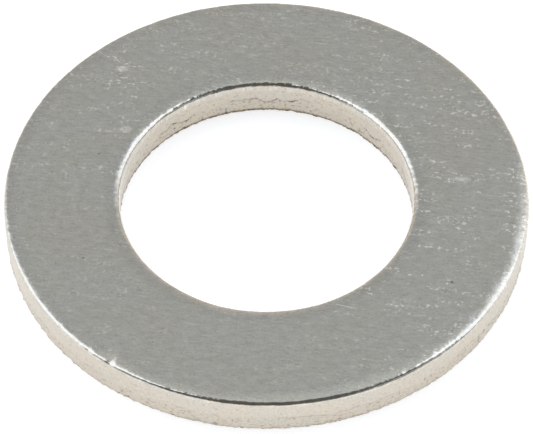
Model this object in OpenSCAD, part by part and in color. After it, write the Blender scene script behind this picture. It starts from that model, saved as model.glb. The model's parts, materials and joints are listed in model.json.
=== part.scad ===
// Flat washer, blanked from steel sheet in one stroke of a compound die: a single solid ring.
// The bottom face lies on z = 0 and the bore's axis is the Z axis. All sizes are in millimetres.
// The die rolls over both edges of the top face. Below the roll each wall has a straight land
// that the tool sheared, and under the tear line the metal broke away at a slight taper.

/* [Ring] */
// Diameter of the bore at its narrowest, on the sheared land
bore_d = 28; // [20:0.5:34]
// Outer diameter at its widest, on the sheared land
outer_d = 50; // [44:0.5:70]
// Thickness of the sheet
thickness = 4; // [2.5:0.1:6]

/* [Rolled edges of the top face] */
// Radius of the roll-over at the outer edge and at the bore's edge
roll_r = 0.45; // [0.1:0.05:0.6]
// Width of the shallow droop between the flat face and a roll-over
droop_w = 1.2; // [0.5:0.1:1.5]
// How far the face falls across the droop
droop_drop = 0.12; // [0.02:0.01:0.14]

/* [Sheared walls] */
// Share of the thickness that lies below the tear line
fracture_share = 0.45; // [0.3:0.05:0.6]
// Taper of the broken zone below the tear line, in degrees
fracture_taper = 2; // [0.5:0.5:4]
// Width of the break along the bottom edges
edge_break = 0.08; // [0.02:0.02:0.2]

/* [Hidden] */
$fn = 180;
// Radius of the circle midway between the walls, where the section's two halves meet
mid_r = (bore_d + outer_d) / 4;
// Distance from there to each wall's sheared land
reach = (outer_d - bore_d) / 4;
tear_z = thickness * fracture_share;
broken_x = reach - (tear_z - edge_break) * tan(fracture_taper);
// The droop is an arc that starts flat and falls by droop_drop over droop_w
droop_r = (droop_w * droop_w + droop_drop * droop_drop) / (2 * droop_drop);
droop_x = reach - roll_r - droop_w;
droop_z = thickness - droop_r;
// The roll-over lies inside the droop's arc, tangent to it and to the wall
roll_x = reach - roll_r;
roll_z = droop_z + sqrt(pow(droop_r - roll_r, 2) - droop_w * droop_w);
// Where the droop's arc runs into the roll-over
join_x = droop_x + droop_w * droop_r / (droop_r - roll_r);
bright_steel = [0.66, 0.66, 0.65];

// Half of the ring's section, from its middle at x = 0 out to one wall
module half_section() {
    polygon([
        [0, 0],
        [broken_x - edge_break, 0],
        [broken_x, edge_break],
        [reach, tear_z],
        [reach, roll_z],
        [droop_x, roll_z],
        [droop_x, thickness],
        [0, thickness],
    ]);
    intersection() {
        translate([droop_x, droop_z])
            circle(r = droop_r);
        translate([0, tear_z])
            square([join_x, thickness]);
    }
    translate([roll_x, roll_z])
        circle(r = roll_r);
}

module washer() {
    color(bright_steel)
        rotate_extrude()
            translate([mid_r, 0]) {
                half_section();
                mirror([1, 0])
                    half_section();
            }
}

washer();
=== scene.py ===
"""A bright-plated flat washer, blanked from steel sheet, on a pale floor in soft studio light.

The washer is one closed mesh. Its section is worked out at every angle round the ring: the die's
roll-over on both top edges, the smooth sheared land, the wavy tear line, and the rough broken metal
below it. Its shape is worked out in millimetres, and the scene is in metres.
"""

import json
import math

import bpy
import numpy as np
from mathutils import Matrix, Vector, noise


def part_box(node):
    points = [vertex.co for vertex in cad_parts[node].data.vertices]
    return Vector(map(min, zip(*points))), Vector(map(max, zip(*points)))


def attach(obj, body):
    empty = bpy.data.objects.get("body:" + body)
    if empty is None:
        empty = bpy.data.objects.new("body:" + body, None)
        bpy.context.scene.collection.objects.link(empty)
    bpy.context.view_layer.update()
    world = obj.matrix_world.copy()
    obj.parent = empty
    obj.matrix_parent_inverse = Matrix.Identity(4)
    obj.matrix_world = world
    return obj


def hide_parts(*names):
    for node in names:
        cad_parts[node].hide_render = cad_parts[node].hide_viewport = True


MM = 0.001

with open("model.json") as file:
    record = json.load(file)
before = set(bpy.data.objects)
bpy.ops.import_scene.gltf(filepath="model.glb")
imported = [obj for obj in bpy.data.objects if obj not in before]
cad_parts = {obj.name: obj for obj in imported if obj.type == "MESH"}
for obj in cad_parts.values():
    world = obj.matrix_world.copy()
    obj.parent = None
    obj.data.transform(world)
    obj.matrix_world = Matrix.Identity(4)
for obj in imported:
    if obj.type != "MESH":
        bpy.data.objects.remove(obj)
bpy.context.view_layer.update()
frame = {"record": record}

# The washer's size in millimetres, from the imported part
low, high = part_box("washer")
bore_mount = next(m for m in frame["record"]["mounts"] if m["name"] == "bore")
OUTER_R = (high.x - low.x) / 2 / MM
BORE_R = bore_mount["dims"]["r_mm"]
THICK = (high.z - low.z) / MM
MID_R = (OUTER_R + BORE_R) / 2
REACH = (OUTER_R - BORE_R) / 2

# The nominal section in millimetres
TEAR_Z = 0.45 * THICK
TAPER = math.tan(math.radians(2))
EDGE_BREAK = 0.08
ROLL_R = 0.45
DROOP_W = 1.2
DROOP_DROP = 0.13
# The outer edge's droop and roll-over are largest this many radians from the X axis, towards the camera
WIDEST_AT = 0.8

# The walls have these sides of the section's middle
OUTER, BORE = 1, -1
# How the walls differ: the height of the ledge under the tear line, how far the tear line wanders, how
# far the wall steps in at the ledge, in millimetres, and how deep its cracks are cut and how dark they are
# painted, from 0 to 1; the dark is painted shade under the ledge
LEDGE = {OUTER: 0.14, BORE: 0.238}
WANDER = {OUTER: 0.3, BORE: 0.6}
STEP = {OUTER: 0.015, BORE: 0.04}
CRACK_SHADE = {OUTER: 0.35, BORE: 1}
# How much painted shade darkens each wall, all over and along its bottom edge, from 0 to 1
WALL_SHADE = {OUTER: (0, 0.2), BORE: (0.11, 1)}
# The depth of the broken metal's roughness, pits and ragged bottom edge, in millimetres
ROUGH = 0.03
PIT = 0.09
RAGGED = 0.09

# Points round the ring, and rings of points along each stretch of half the section
AROUND = 1200
CUTS = {"bottom": 2, "break": 2, "broken": 14, "ledge": 2, "land": 4, "roll": 8, "droop": 6, "face": 3}

# Dings in the outer edge: angle in degrees, length along the edge and depth in millimetres
DINGS = [(234.5, 0.6, 0.07), (322, 0.5, 0.03), (152, 0.6, 0.04), (71, 0.7, 0.03)]
# Marks on the top face: x, y, length and width in millimetres, and the angle they lie at in degrees
SMUDGES = [(-14.1, 16.0, 1.8, 1.0, 5), (-13.6, 8.1, 1.7, 1.1, 0), (18.6, 1.8, 2.2, 0.8, -8)]
SCRATCHES = [(-14.6, 17.1, 1.1, 0.17, -52), (7.4, -13.7, 2.9, 0.15, -17), (11.4, 12.6, 0.9, 0.16, 45)]
PITS = [(17.3, -10.8, 0.36, 0.32, 0), (-16.1, 5.0, 0.4, 0.2, 20), (-17.2, -7.9, 0.45, 0.22, -30)]


# ---------------------------------------------------------------- the ring's shape

def fractal(x, y, z, size, octaves=3):
    """Smooth noise at each point, from about -1 to 1, with lumps about size across."""
    points = np.stack([x, y, np.broadcast_to(z, x.shape)], axis=-1) / size
    return np.array([noise.fractal(Vector(p), 0.7, 2.0, octaves) for p in points])


def smooth(x, start, end):
    """0 up to start, 1 from end on, and a smooth ramp between."""
    t = np.clip((x - start) / (end - start), 0, 1)
    return t * t * (3 - 2 * t)


class Ring:
    """One ring of points at every angle: how far out from the middle of the section it is, its height,
    the way the surface faces there, and how much of it is wall, broken metal, rubbed edge and tear."""

    def __init__(self, w, z, facing, wall=0, broken=0, rubbed=0, tear=0):
        self.w, self.z, self.facing = w, z, facing
        self.wall, self.broken, self.rubbed, self.tear = wall, broken, rubbed, tear


def half_section(angles, side):
    """The rings from the middle of the bottom face, out to a wall and back to the top face. side is
    OUTER or BORE."""
    wall_r = MID_R + side * REACH
    x, y = wall_r * np.cos(angles), wall_r * np.sin(angles)
    far = 40 * side
    same = np.ones_like(x)

    tear = TEAR_Z + 0.28 * fractal(x, y, far, 6) + WANDER[side] * fractal(x, y, far + 9, 1.5, 2)
    step = STEP[side] * smooth(fractal(x, y, far + 17, 3.5), 0.0, 0.5)
    ledge = LEDGE[side]
    chip = EDGE_BREAK * (1 + 0.9 * fractal(x, y, far + 23, 0.45))
    drop = DROOP_DROP * (1 + 0.35 * fractal(x, y, far + 31, 8))
    roll = ROLL_R * (1 + 0.15 * fractal(x, y, far + 37, 5))
    if side == OUTER:
        # The punch and die don't stand quite true, so the edge is pulled down most on one side
        drop = drop * (0.78 + 0.34 * np.cos(angles + WIDEST_AT))
        roll = roll * (0.82 + 0.26 * np.cos(angles + WIDEST_AT))
    else:
        roll = roll * (1.12 + 0.1 * np.cos(2 * angles))

    broken_w = REACH - (TEAR_Z - EDGE_BREAK) * TAPER
    roll_w = REACH - roll
    droop_w = roll_w - DROOP_W
    lean = np.arctan(2 * drop / DROOP_W)
    roll_z = THICK - drop - roll * np.cos(lean)
    rings = []

    def straight(name, start, end, facing, **kinds):
        for t in np.arange(CUTS[name]) / CUTS[name]:
            w = start[0] * (1 - t) + end[0] * t
            z = start[1] * (1 - t) + end[1] * t
            rings.append(Ring(w * same, z * same, facing, **kinds))

    out, up, down = (1, 0), (0, 1), (0, -1)
    straight("bottom", (0, 0), (broken_w - chip, 0), down)
    straight("break", (broken_w - chip, 0), (broken_w, chip), out, wall=1, broken=0.6)
    straight("broken", (broken_w, chip), (REACH - step, tear - ledge), out, wall=1, broken=1)
    straight("ledge", (REACH - step, tear - ledge), (REACH, tear), out, wall=1, broken=0.5,
             tear=CRACK_SHADE[side])
    straight("land", (REACH, tear), (REACH, roll_z), out, wall=1)
    for t in np.arange(CUTS["roll"]) / CUTS["roll"]:
        turn = t * (math.pi / 2 - lean)
        facing = (np.cos(turn), np.sin(turn))
        rings.append(Ring(roll_w + roll * facing[0], roll_z + roll * facing[1], facing, rubbed=1))
    # The droop falls with the square of the way across it, down to the slope where the roll-over starts
    for t in np.arange(CUTS["droop"]) / CUTS["droop"]:
        w = droop_w + (DROOP_W + roll * np.sin(lean)) * (1 - t)
        rings.append(Ring(w, THICK - drop * (1 - t) ** 2, up, rubbed=1 - t))
    straight("face", (droop_w, THICK), (0, THICK), up)
    return rings


def place(ring, angles, side):
    """The ring's points in millimetres, with the metal's relief cut into them, how deep that is cut, and
    how much painted shade darkens the points, towards the wall's bottom edge."""
    radius = MID_R + side * ring.w
    x, y = radius * np.cos(angles), radius * np.sin(angles)
    depth = np.zeros_like(x)
    if ring.broken:
        rough = ROUGH * fractal(x, y, ring.z, 0.6, 4)
        pits = PIT * smooth(fractal(x, y, ring.z + 90, 0.35, 2), 0.45, 0.8)
        lumps = 0.03 + RAGGED * fractal(x, y, ring.z * 0.3 + 50, 0.5, 2)
        ragged = smooth(ring.z, 0.7, 0.1) * lumps
        depth += ring.broken * (0.01 + rough + pits + ragged)
    if ring.rubbed:
        crinkle = 0.016 * fractal(x, y, ring.z * 0.5, 0.9, 2) + 0.012 * fractal(x, y, ring.z, 0.4, 2)
        if side == BORE:
            # The bore's edge is most crinkled at the back, on the +Y side
            crinkle = crinkle * (0.8 + 0.9 * np.maximum(np.sin(angles), 0) ** 2)
        depth += ring.rubbed ** 3 * crinkle
    if side == OUTER:
        for angle, length, deepest in DINGS:
            off = (angles - math.radians(angle) + math.pi) % (2 * math.pi) - math.pi
            depth += ring.rubbed * deepest * np.exp(-(off * OUTER_R / length * 2) ** 2)
    radius = radius - side * depth * ring.facing[0]
    height = ring.z - depth * ring.facing[1]
    # Painted shade: the walls darker towards the bottom edge, and the bore's wall a little darker all over
    faint, heavy = WALL_SHADE[side]
    wall_shade = ring.wall * (faint + (heavy - faint) * smooth(ring.z, 0.48, 0.16))
    return np.stack([radius * np.cos(angles), radius * np.sin(angles), height], axis=-1), depth, wall_shade


def make_washer(materials):
    """The whole ring as one closed mesh, with what its materials need to know stored on its points."""
    angles = np.arange(AROUND) * 2 * math.pi / AROUND
    outer, inner = half_section(angles, OUTER), half_section(angles, BORE)
    middle = Ring(0 * angles, THICK + 0 * angles, (0, 1))
    loop = [(r, OUTER) for r in outer] + [(middle, OUTER)] + [(r, BORE) for r in inner[:0:-1]]

    placed = [place(ring, angles, side) for ring, side in loop]
    points = np.concatenate([p for p, _, _ in placed]) * MM
    count = len(loop)
    j, i = np.meshgrid(np.arange(count), np.arange(AROUND), indexing="ij")
    j2, i2 = (j + 1) % count, (i + 1) % AROUND
    corners = [j * AROUND + i, j * AROUND + i2, j2 * AROUND + i2, j2 * AROUND + i]
    quads = np.stack(corners, axis=-1).reshape(-1, 4)

    mesh = bpy.data.meshes.new("washer_steel")
    mesh.from_pydata(points.tolist(), [], quads.tolist())
    for material in materials:
        mesh.materials.append(material)
    wall = np.array([r.wall for r, _ in loop])
    is_wall = wall * np.maximum(np.roll(wall, 1), np.roll(wall, -1))
    mesh.polygons.foreach_set("material_index", np.repeat(is_wall, AROUND))
    mesh.polygons.foreach_set("use_smooth", np.ones(len(quads), bool))
    masks = {
        "broken": np.repeat([float(r.broken) for r, _ in loop], AROUND),
        "rubbed": np.repeat([float(r.rubbed) for r, _ in loop], AROUND),
        "cavity": np.concatenate([np.clip(d / 0.1, 0, 1) for _, d, _ in placed]),
        "wall_shade": np.concatenate([s * np.ones(AROUND) for _, _, s in placed]),
        "tear": np.repeat([float(r.tear) for r, _ in loop], AROUND),
    }
    for name, values in masks.items():
        mesh.attributes.new(name, "FLOAT", "POINT").data.foreach_set("value", values.astype(np.float32))
    mesh.validate()
    piece = bpy.data.objects.new("washer_steel", mesh)
    bpy.context.scene.collection.objects.link(piece)
    return piece


# ---------------------------------------------------------------- node helpers

def add(tree, kind, inputs=None, **settings):
    """A new shader node. Each input is a plain value, or an output socket to link from."""
    made = tree.nodes.new("ShaderNode" + kind)
    for name, value in settings.items():
        setattr(made, name, value)
    for key, value in (inputs or {}).items():
        if isinstance(value, bpy.types.NodeSocket):
            tree.links.new(value, made.inputs[key])
        else:
            made.inputs[key].default_value = value
    return made


def noise_at(tree, where, scale, turn=0.0, detail=2.0, rough=0.5, seed=0.0):
    """Noise with the given number of lumps per millimetre along each axis, after a turn about Z."""
    turned = add(tree, "Mapping", {"Vector": where, "Rotation": (0, 0, turn)})
    grid = add(tree, "Mapping", {"Vector": turned.outputs[0], "Location": (seed, seed, seed),
                                 "Scale": [s / MM for s in scale]})
    made = add(tree, "TexNoise", {"Vector": grid.outputs[0], "Scale": 1.0, "Detail": detail,
                                  "Roughness": rough})
    return made.outputs["Fac"]


def window(tree, value, start, end, lowest=0.0, highest=1.0):
    """The value eased from lowest at start to highest at end."""
    made = add(tree, "MapRange", {"Value": value, "From Min": start, "From Max": end, "To Min": lowest,
                                  "To Max": highest}, interpolation_type="SMOOTHSTEP")
    return made.outputs["Result"]


def combine(tree, how, a, b):
    """One sum, product or other operation on two values."""
    return add(tree, "Math", {0: a, 1: b}, operation=how).outputs[0]


def product(tree, *factors):
    """All the factors multiplied together."""
    total = factors[0]
    for factor in factors[1:]:
        total = combine(tree, "MULTIPLY", total, factor)
    return total


def tint(tree, share, a, b, how="MIX"):
    """Colour a, with that share of b mixed in."""
    return add(tree, "Mix", {0: share, 6: a, 7: b}, data_type="RGBA", blend_type=how).outputs[2]


def add_up(tree, *terms):
    """The sum of (socket, weight) terms and plain numbers."""
    total = None
    for term in terms:
        part = term if isinstance(term, (int, float)) else combine(tree, "MULTIPLY", *term)
        total = part if total is None else combine(tree, "ADD", total, part)
    return total


def marks(tree, where, listed):
    """1 inside the listed oval marks on the top face, easing to 0 at their edges."""
    found = 0.0
    for x, y, length, width, turn in listed:
        inside = add(tree, "Mapping", {"Vector": where, "Location": (x * MM, y * MM, THICK * MM),
                                       "Rotation": (0, 0, math.radians(turn)),
                                       "Scale": (length / 2 * MM, width / 2 * MM, MM)}, vector_type="TEXTURE")
        out = add(tree, "VectorMath", {0: inside.outputs[0]}, operation="LENGTH").outputs["Value"]
        found = combine(tree, "MAXIMUM", window(tree, out, 1.0, 0.35), found)
    return found


def metal(name):
    """A new material whose Principled shader is all metal, with its node tree."""
    material = bpy.data.materials.new(name)
    material.use_nodes = True
    shader = material.node_tree.nodes["Principled BSDF"]
    shader.inputs["Metallic"].default_value = 1.0
    return material, material.node_tree, shader


def finish_metal(tree, shader, colour, roughness, height, depth_mm, strength):
    """Wires up a metal's colour, roughness and bumps, which are depth_mm deep."""
    bump = add(tree, "Bump", {"Height": height, "Distance": depth_mm * MM, "Strength": strength})
    tree.links.new(colour, shader.inputs["Base Color"])
    tree.links.new(roughness, shader.inputs["Roughness"])
    tree.links.new(bump.outputs["Normal"], shader.inputs["Normal"])


# ---------------------------------------------------------------- materials

NICKEL = (0.66, 0.61, 0.53, 1)
NICKEL_WARM = (0.665, 0.61, 0.52, 1)
NICKEL_COOL = (0.65, 0.61, 0.54, 1)
NICKEL_CREAM = (0.68, 0.61, 0.51, 1)
# Dark colour of the real pits, and of the painted shade in the walls' recesses and cracks
DIRT_AND_SHADE = (0.10, 0.075, 0.055, 1)
# The brown of the painted shade on the walls, towards their bottom edge
SHADE_BROWN = (0.20, 0.15, 0.09, 1)
# The sheet's rolling grain lies at this angle to the X axis
GRAIN = math.radians(7.6)


def face_material():
    """The rolled faces: fine grain along the sheet, rows of pale flecks, smudges, dark specks, and
    edges rubbed smooth."""
    material, tree, shader = metal("rolled_face")
    where = add(tree, "TexCoord").outputs["Object"]
    rubbed = add(tree, "Attribute", attribute_name="rubbed").outputs["Fac"]

    mottle = noise_at(tree, where, (0.16, 0.22, 0.1), GRAIN, 4, 0.6)
    streaks = noise_at(tree, where, (0.9, 4.5, 1), GRAIN, 3, 0.6, 3)
    clusters = window(tree, noise_at(tree, where, (0.34, 1.4, 0.1), GRAIN, 2, 0.6, 7), 0.47, 0.66)
    spots = window(tree, noise_at(tree, where, (2.5, 3.0, 1), GRAIN, 1, 0.6, 11), 0.50, 0.72)
    blotches = noise_at(tree, where, (0.9, 1.4, 1), GRAIN, 3, 0.65, 61)
    # The flecks are strongest on the right and at the back, and weakest at the front left
    at = add(tree, "SeparateXYZ", {0: where}).outputs
    across = combine(tree, "ABSOLUTE", at["X"], 0)
    rim = OUTER_R * MM
    sides = window(tree, across, 0.2 * rim, 0.6 * rim, 0.5, 1.0)
    diagonal = add_up(tree, (at["X"], 0.8), (at["Y"], 0.6))
    worn = window(tree, diagonal, -0.8 * rim, 0.2 * rim, 0.4, 1.0)
    flecks = product(tree, clusters, spots, sides, worn)
    fine = noise_at(tree, where, (3.5, 5.0, 1), GRAIN, 2, 0.7, 37)
    smudges = product(tree, marks(tree, where, SMUDGES), window(tree, fine, 0.25, 0.6, 0.3, 1.0))
    scratches = marks(tree, where, SCRATCHES)
    patches = window(tree, noise_at(tree, where, (0.3, 0.3, 0.1), 0, 1, 0.5, 43), 0.50, 0.66)
    grains = window(tree, noise_at(tree, where, (3.0, 3.6, 1), 0, 2, 0.5, 29), 0.58, 0.74)
    pores = combine(tree, "MAXIMUM", marks(tree, where, PITS), product(tree, patches, grains, 0.35))

    colour = tint(tree, window(tree, mottle, 0.3, 0.7), NICKEL_WARM, NICKEL_COOL)
    tone = add_up(tree, 0.405, (streaks, 0.32), (fine, 0.40), (blotches, 0.36), (mottle, 0.06),
                  (flecks, 0.60), (smudges, 0.30), (scratches, 0.9))
    colour = tint(tree, 1.0, colour, combine(tree, "MINIMUM", tone, 1.45), "MULTIPLY")
    colour = tint(tree, product(tree, pores, 0.75), colour, DIRT_AND_SHADE)
    roughness = add_up(tree, 0.25, (streaks, 0.06), (flecks, 0.12), (smudges, 0.10), (rubbed, -0.14))
    crinkle = product(tree, noise_at(tree, where, (3.2, 3.2, 3.2), 0, 2, 0.5, 53), rubbed)
    height = add_up(tree, (streaks, 0.5), (fine, 0.4), (flecks, 0.3), (pores, -1.5), (crinkle, 1.8))
    finish_metal(tree, shader, colour, roughness, height, 0.02, 0.35)
    return material


def wall_material():
    """The sheared walls: scored up and down on the land, cracked in places along the tear line with painted
    shade under its ledge, grainy and pitted where the metal broke, with painted shade in the deepest
    recesses, and darker towards the bottom edge with painted shade."""
    material, tree, shader = metal("sheared_wall")
    where = add(tree, "TexCoord").outputs["Object"]
    broken = add(tree, "Attribute", attribute_name="broken").outputs["Fac"]
    cavity = add(tree, "Attribute", attribute_name="cavity").outputs["Fac"]
    wall_shade = add(tree, "Attribute", attribute_name="wall_shade").outputs["Fac"]
    tear = add(tree, "Attribute", attribute_name="tear").outputs["Fac"]

    scores = noise_at(tree, where, (4.0, 4.0, 1.2), 0, 3, 0.6)
    grit = noise_at(tree, where, (4.2, 4.2, 5.0), 0, 3, 0.7, 5)
    specks = window(tree, noise_at(tree, where, (3.4, 3.4, 4.6), 0, 2, 0.6, 13), 0.56, 0.70)
    mottle = noise_at(tree, where, (0.3, 0.3, 0.5), 0, 4, 0.6, 23)
    stretches = window(tree, noise_at(tree, where, (0.22, 0.22, 0.05), 0, 3, 0.6, 31), 0.47, 0.56)
    # Real cracks along the tear line, cut in as bumps and darkened with painted shade under the ledge
    cracks_and_shade = product(tree, tear, stretches, window(tree, grit, 0.43, 0.53))
    # The pits' dark specks are real, and grow denser where the painted shade darkens the wall towards its
    # bottom edge
    pits = product(tree, specks, add_up(tree, 0.30, (broken, 0.28), (wall_shade, 1.2)))
    # Painted shade in the deepest recesses of the relief, by how deep they are cut
    deep = window(tree, cavity, 0.65, 1.0)

    colour = tint(tree, window(tree, mottle, 0.3, 0.7), NICKEL_CREAM, NICKEL)
    tone = add_up(tree, 0.69, (scores, 0.10), (grit, 0.50))
    colour = tint(tree, 1.0, colour, tone, "MULTIPLY")
    # The dark shares: painted shade in the deepest recesses, the pits' real dark specks, painted shade in the
    # tear line's cracks, and painted shade towards the bottom edge
    for share, dark in ((product(tree, deep, 0.2), DIRT_AND_SHADE), (product(tree, pits, 0.75), DIRT_AND_SHADE),
                        (product(tree, cracks_and_shade, 0.95), DIRT_AND_SHADE), (product(tree, wall_shade, 0.92), SHADE_BROWN)):
        colour = tint(tree, share, colour, dark)
    roughness = add_up(tree, 0.28, (scores, 0.06), (broken, 0.10), (pits, 0.2))
    grains = product(tree, grit, add_up(tree, 0.3, (broken, 0.7)))
    height = add_up(tree, (scores, 0.15), (grains, 0.7), (pits, -1.0), (cracks_and_shade, -1.0))
    finish_metal(tree, shader, colour, roughness, height, 0.03, 0.5)
    return material


def floor_material():
    """The matt white top of a light table, lit from underneath, with a faint tooth."""
    material = bpy.data.materials.new("light_table")
    material.use_nodes = True
    tree = material.node_tree
    shader = tree.nodes["Principled BSDF"]
    where = add(tree, "TexCoord").outputs["Object"]
    tooth = noise_at(tree, where, (1.2, 1.2, 1.2), 0, 3)
    colour = tint(tree, window(tree, tooth, 0.3, 0.7), (0.59, 0.58, 0.565, 1), (0.61, 0.60, 0.585, 1))
    tree.links.new(colour, shader.inputs["Base Color"])
    shader.inputs["Roughness"].default_value = 0.9
    shader.inputs["Specular IOR Level"].default_value = 0.2
    shader.inputs["Emission Color"].default_value = PALE
    shader.inputs["Emission Strength"].default_value = TABLE_LIGHT
    return material


# ---------------------------------------------------------------- the studio

# What shines from each direction round the washer, as unit vectors: soft boxes on the right and left, a
# dark side where the camera stands, dim in its corners, a cool grey sky, darker behind, and a pale glow
# near the floor
BOX_LIGHT = (1.5, 1.65, 1.88, 1)
TABLE_LIGHT = 0.70
SKY = (0.66, 0.71, 0.75, 1)
SKY_BEHIND = (0.44, 0.48, 0.515, 1)
SKY_LOW = (0.73, 0.70, 0.675, 1)
DARK_SIDE = (0.13, 0.135, 0.14, 1)
DIM_CORNER = (0.50, 0.53, 0.56, 1)
FOOT_GLOW = (0.90, 0.82, 0.79, 1)
SIDE_GLOW = (1.12, 1.10, 1.12, 1)
PALE = (1.0, 1.0, 1.0, 1)
# Each soft box's reach in the directions above: where it starts and is full along X, and where it
# starts, is full, is still full and ends along Y
RIGHT_BOX = {"x": (0.32, 0.50), "y": (-0.30, -0.14, 0.38, 0.77)}
LEFT_BOX = {"x": (-0.22, -0.38), "y": (-0.42, -0.24, 0.34, 0.76)}
# The Z of the directions where both boxes start and are full
BOX_FOOT = (0.12, 0.28)
# How far the boxes are turned to the right of the washer's own axes
BOX_TURN = 0.2


def band(tree, value, start, full, still_full, end):
    """1 between full and still_full, easing to 0 at start and end."""
    rise = window(tree, value, start, full)
    return combine(tree, "MULTIPLY", rise, window(tree, value, end, still_full))


def light_studio():
    """The studio as the washer sees it, and a plain pale backdrop as the camera sees it."""
    world = bpy.data.worlds.new("studio")
    bpy.context.scene.world = world
    world.use_nodes = True
    tree = world.node_tree
    background = tree.nodes["Background"]
    toward = add(tree, "TexCoord").outputs["Generated"]
    axes = add(tree, "SeparateXYZ", {0: toward}).outputs
    across = combine(tree, "ABSOLUTE", axes["X"], 0)

    # The right box is turned along its whole length, and the left one only on the camera's side
    turned = add_up(tree, (axes["X"], 1.0), (axes["Y"], BOX_TURN))
    half_turned = add_up(tree, (axes["X"], 1.0), (combine(tree, "MINIMUM", axes["Y"], 0), BOX_TURN))
    right = product(tree, window(tree, turned, *RIGHT_BOX["x"]), band(tree, axes["Y"], *RIGHT_BOX["y"]))
    left = product(tree, window(tree, half_turned, *LEFT_BOX["x"]), band(tree, axes["Y"], *LEFT_BOX["y"]))
    boxes = product(tree, combine(tree, "ADD", right, left), window(tree, axes["Z"], *BOX_FOOT))
    dark = window(tree, axes["Y"], 0.06, -0.14)
    corner = product(tree, window(tree, across, 0.40, 0.68), window(tree, axes["Z"], 0.60, 0.35))
    low = product(tree, window(tree, axes["Z"], 0.26, 0.10), window(tree, axes["Y"], 0.80, 0.55))
    glow = tint(tree, window(tree, across, 0.25, 0.50), FOOT_GLOW, SIDE_GLOW)

    behind = tint(tree, window(tree, axes["Z"], 0.72, 0.28), SKY_BEHIND, SKY_LOW)
    sky = tint(tree, window(tree, axes["Y"], 0.22, 0.62), SKY, behind)
    sky = tint(tree, dark, sky, tint(tree, corner, DARK_SIDE, DIM_CORNER))
    sky = tint(tree, boxes, sky, BOX_LIGHT)
    sky = tint(tree, low, sky, glow)
    # A dark strip along the foot of the right box, on the camera's side
    strip = product(tree, window(tree, axes["Y"], 0.06, -0.16), window(tree, axes["X"], 0.25, 0.45),
                    window(tree, axes["Z"], 0.24, 0.14))
    sky = tint(tree, product(tree, strip, 0.9), sky, DARK_SIDE)
    seen = add(tree, "LightPath").outputs["Is Camera Ray"]
    tree.links.new(tint(tree, seen, sky, PALE), background.inputs["Color"])
    background.inputs["Strength"].default_value = 1.0


# Half the floor's side, in metres
FLOOR_HALF = 4.0


def make_floor():
    """A pale floor that reaches past every camera's view."""
    mesh = bpy.data.meshes.new("studio_floor")
    corners = [(x * FLOOR_HALF, y * FLOOR_HALF, 0) for x, y in ((-1, -1), (1, -1), (1, 1), (-1, 1))]
    mesh.from_pydata(corners, [], [(0, 1, 2, 3)])
    mesh.materials.append(floor_material())
    floor = bpy.data.objects.new("studio_floor", mesh)
    bpy.context.scene.collection.objects.link(floor)


# The camera looks along +Y and down, from this many outer radii away
CAMERA_ELEVATION = math.radians(50.14)
CAMERA_RADII = 13.98
LENS_MM = 246.7
# The washer's centre stands above the middle of the picture by this angle
AIM_DROP = math.radians(0.158)


def make_camera():
    """A long lens that looks down at the washer, with no shift and no depth of field."""
    data = bpy.data.cameras.new("camera")
    data.lens = LENS_MM
    data.sensor_width = 36
    camera = bpy.data.objects.new("camera", data)
    bpy.context.scene.collection.objects.link(camera)
    back = Vector((0, -math.cos(CAMERA_ELEVATION), math.sin(CAMERA_ELEVATION)))
    camera.location = Vector((0, 0, THICK / 2 * MM)) + back * CAMERA_RADII * OUTER_R * MM
    camera.rotation_euler = (math.pi / 2 - CAMERA_ELEVATION - AIM_DROP, 0, 0)
    data.clip_start, data.clip_end = 0.01, 10
    bpy.context.scene.camera = camera


make_camera()
light_studio()
make_floor()
washer = make_washer([face_material(), wall_material()])
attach(washer, "root")
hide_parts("washer")
bpy.context.scene.view_settings.view_transform = "Standard"
